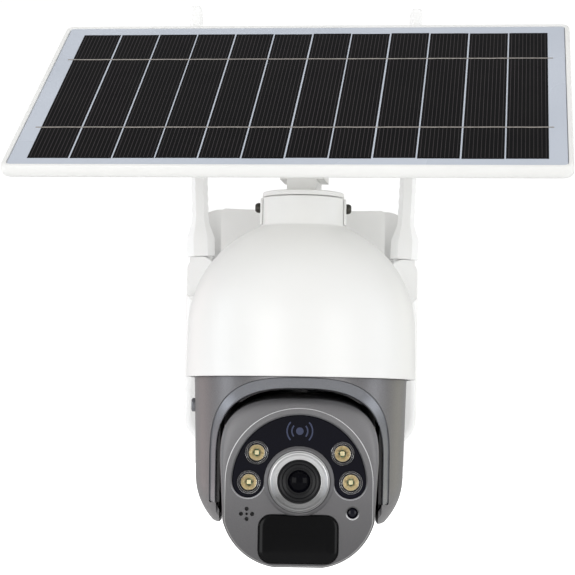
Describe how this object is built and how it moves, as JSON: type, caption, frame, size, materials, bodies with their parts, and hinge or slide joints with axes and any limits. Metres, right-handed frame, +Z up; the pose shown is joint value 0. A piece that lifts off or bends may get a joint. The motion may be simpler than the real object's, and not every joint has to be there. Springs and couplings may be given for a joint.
{
  "type": "solar-powered security camera",
  "caption": "Wall-mounted pan and tilt camera: white dome over a grey yoke and camera head, a tilting solar panel on the neck, twin paddle antennas and a battery box behind.",
  "frame": {"origin": "centre of the wall box's back face, midway between the four wall screw holes", "axes": "+Y points out of the back face into the wall, +Z up, +X to the right seen from in front"},
  "size_m": [0.3057, 0.2222, 0.323],
  "materials": {
    "white_plastic": "satin white moulding",
    "grey_metallic": "fine metallic grey paint on a moulding",
    "grey_rim": "darker metallic grey paint",
    "black_gloss": "deep gloss black",
    "clear_lens": "clear moulded lens",
    "reflector": "bright plated cup",
    "bezel_metal": "turned satin silver",
    "lens_black": "matt black",
    "coated_glass": "coated dark glass",
    "steel": "zinc plated",
    "dark_steel": "black oxide",
    "brass": "turned",
    "gear_plastic": "natural acetal",
    "circuit_board": "green solder mask",
    "cell_wrap": "shrink sleeve",
    "black_plastic": "black moulding",
    "rubber": "matt",
    "solar_glass": "laminate over a pale back sheet",
    "solar_cell": "near black silicon"
  },
  "bodies": {
    "housing": {"wall_tray": "white_plastic", "battery_cover": "white_plastic", "box_seal": "rubber", "housing_screws": "steel", "battery_cells": "cell_wrap", "battery_holder": "black_plastic", "charge_board": "circuit_board", "cable_gland": "black_plastic", "arm_bracket": "white_plastic", "dome_shell": "white_plastic", "neck_insert": "black_plastic", "neck_screws": "dark_steel", "dome_chassis": "black_plastic", "main_board": "circuit_board", "pan_bearing": "gear_plastic", "pan_motor": "steel"},
    "pan_pinion": {"pan_pinion": "brass"},
    "yoke": {"yoke_shell": "grey_metallic", "yoke_bezel": "grey_rim", "cheek_covers": "grey_metallic", "tilt_bushes": "gear_plastic", "pan_hub": "gear_plastic", "pan_gear": "gear_plastic", "tilt_motor": "steel", "speaker": "black_plastic", "button_switch": "circuit_board"},
    "tilt_pinion": {"tilt_pinion": "brass"},
    "power_button": {"power_button": "grey_rim"},
    "head": {"head_front": "grey_metallic", "head_rear": "grey_metallic", "head_screws": "steel", "tilt_axles": "gear_plastic", "tilt_gear": "gear_plastic", "led_window": "black_gloss", "led_lenses": "clear_lens", "led_reflectors": "reflector", "led_board": "circuit_board", "lens_bezel": "bezel_metal", "lens_barrel": "lens_black", "lens_glass": "coated_glass", "sensor_board": "circuit_board", "pir_window": "black_gloss", "pir_sensor": "steel", "microphone": "steel", "light_sensor": "black_gloss"},
    "panel_mount": {"swivel_disc": "white_plastic", "swivel_bolt": "steel", "panel_post": "white_plastic", "hinge_bolt": "steel", "hinge_knob": "black_plastic"},
    "panel": {"panel_bracket": "white_plastic", "panel_frame": "white_plastic", "panel_glass": "solar_glass", "solar_cells": "solar_cell", "junction_box": "black_plastic", "bracket_screws": "steel"},
    "antenna_base_left": {"antenna_knuckle_left": "white_plastic"},
    "antenna_left": {"antenna_paddle_left": "white_plastic"},
    "antenna_base_right": {"antenna_knuckle_right": "white_plastic"},
    "antenna_right": {"antenna_paddle_right": "white_plastic"}
  },
  "joints": [
    {"name": "pan", "type": "hinge", "parent": "housing", "child": "yoke", "pos_m": [0, -0.124, -0.04025], "axis": [0, 0, 1], "range_deg": [-175, 175]},
    {"name": "pan_pinion_spin", "type": "hinge", "parent": "housing", "child": "pan_pinion", "pos_m": [0, -0.0952, -0.02225], "axis": [0, 0, 1], "range_deg": [-880, 880]},
    {"name": "tilt", "type": "hinge", "parent": "yoke", "child": "head", "pos_m": [0, -0.124, -0.08425], "axis": [1, 0, 0], "range_deg": [-4, 90]},
    {"name": "tilt_pinion_spin", "type": "hinge", "parent": "yoke", "child": "tilt_pinion", "pos_m": [0.045, -0.124, -0.06865], "axis": [1, 0, 0], "range_deg": [-302, 30]},
    {"name": "power_press", "type": "slide", "parent": "yoke", "child": "power_button", "axis": [1, 0, 0], "range_m": [0, 0.001], "stiffness_N_per_m": 400, "springref_m": -0.0004},
    {"name": "panel_swivel", "type": "hinge", "parent": "housing", "child": "panel_mount", "pos_m": [0, -0.124, 0.06775], "axis": [0, 0, 1], "range_deg": [-5, 17]},
    {"name": "panel_tilt", "type": "hinge", "parent": "panel_mount", "child": "panel", "pos_m": [0.00042, -0.12002, 0.09875], "axis": [0.9943, -0.1063, 0], "range_deg": [-13.5, 16.5]},
    {"name": "antenna_turn_left", "type": "hinge", "parent": "housing", "child": "antenna_base_left", "pos_m": [-0.0596, -0.02, 0.01975], "axis": [0, 0, 1], "range_deg": [0, 90]},
    {"name": "antenna_fold_left", "type": "hinge", "parent": "antenna_base_left", "child": "antenna_left", "pos_m": [-0.0596, -0.02, 0.03425], "axis": [0, -1, 0], "range_deg": [-2.2, 86]},
    {"name": "antenna_turn_right", "type": "hinge", "parent": "housing", "child": "antenna_base_right", "pos_m": [0.0596, -0.02, 0.01975], "axis": [0, 0, -1], "range_deg": [0, 90]},
    {"name": "antenna_fold_right", "type": "hinge", "parent": "antenna_base_right", "child": "antenna_right", "pos_m": [0.0596, -0.02, 0.03425], "axis": [0, 1, 0], "range_deg": [-2.2, 86]}
  ],
  "couplings": [
    {"joint": "pan_pinion_spin", "follows": "pan", "ratio": -5},
    {"joint": "tilt_pinion_spin", "follows": "tilt", "ratio": -3.3333}
  ]
}
